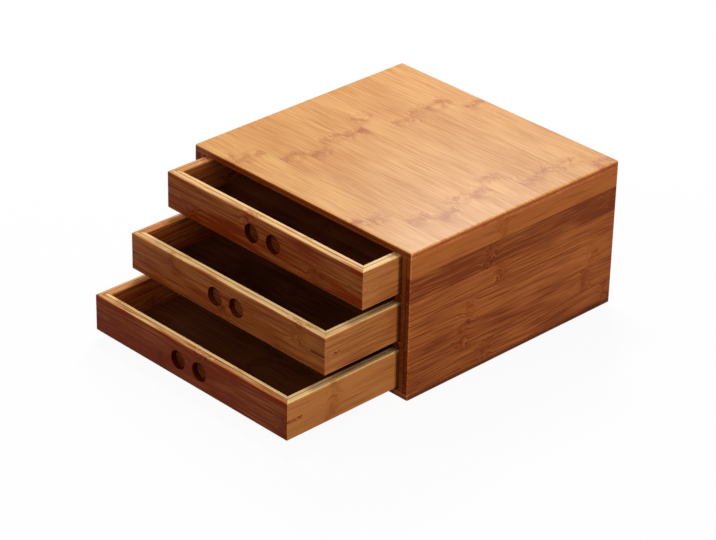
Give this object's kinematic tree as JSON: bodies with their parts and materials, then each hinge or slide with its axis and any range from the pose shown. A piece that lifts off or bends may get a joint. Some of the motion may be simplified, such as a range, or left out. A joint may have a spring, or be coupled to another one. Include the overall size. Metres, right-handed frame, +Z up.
{
  "type": "tea bag drawer box",
  "caption": "Low desktop box in bamboo board: an open-fronted case and a stack of tray drawers with finger recesses, which slide out on wooden runners.",
  "frame": {"origin": "middle of the base panel's underside, at the height of the surface that the box stands on", "axes": "+X to the right as seen by someone facing the drawers, +Y from the front to the back, +Z up"},
  "size_m": [0.26, 0.366, 0.137],
  "materials": {
    "top_board": "carbonised bamboo board, satin lacquer",
    "side_board": "carbonised bamboo board of strips glued edge to edge, satin lacquer",
    "case_board": "carbonised bamboo board, satin lacquer",
    "drawer_board": "carbonised bamboo, satin lacquer",
    "drawer_floor": "thin carbonised bamboo board, thinly lacquered",
    "runner_strip": "bamboo strip, thinly lacquered",
    "corner_key": "dark bamboo, lacquered with the walls"
  },
  "bodies": {
    "case": {"case_top_panel": "top_board", "case_base_panel": "case_board", "case_left_side": "side_board", "case_right_side": "side_board", "case_back_panel": "case_board", "lower_left_runner": "runner_strip", "lower_right_runner": "runner_strip", "upper_left_runner": "runner_strip", "upper_right_runner": "runner_strip"},
    "top_drawer": {"top_drawer_front": "drawer_board", "top_drawer_back": "drawer_board", "top_drawer_left_side": "drawer_board", "top_drawer_right_side": "drawer_board", "top_drawer_floor": "drawer_floor", "top_drawer_corner_keys": "corner_key"},
    "middle_drawer": {"middle_drawer_front": "drawer_board", "middle_drawer_back": "drawer_board", "middle_drawer_left_side": "drawer_board", "middle_drawer_right_side": "drawer_board", "middle_drawer_floor": "drawer_floor", "middle_drawer_corner_keys": "corner_key"},
    "bottom_drawer": {"bottom_drawer_front": "drawer_board", "bottom_drawer_back": "drawer_board", "bottom_drawer_left_side": "drawer_board", "bottom_drawer_right_side": "drawer_board", "bottom_drawer_floor": "drawer_floor", "bottom_drawer_corner_keys": "corner_key"}
  },
  "joints": [
    {"name": "top_drawer_slide", "type": "slide", "parent": "case", "child": "top_drawer", "axis": [0, -1, 0], "range_m": [-0.04, 0.15]},
    {"name": "middle_drawer_slide", "type": "slide", "parent": "case", "child": "middle_drawer", "axis": [0, -1, 0], "range_m": [-0.08, 0.11]},
    {"name": "bottom_drawer_slide", "type": "slide", "parent": "case", "child": "bottom_drawer", "axis": [0, -1, 0], "range_m": [-0.12, 0.07]}
  ]
}
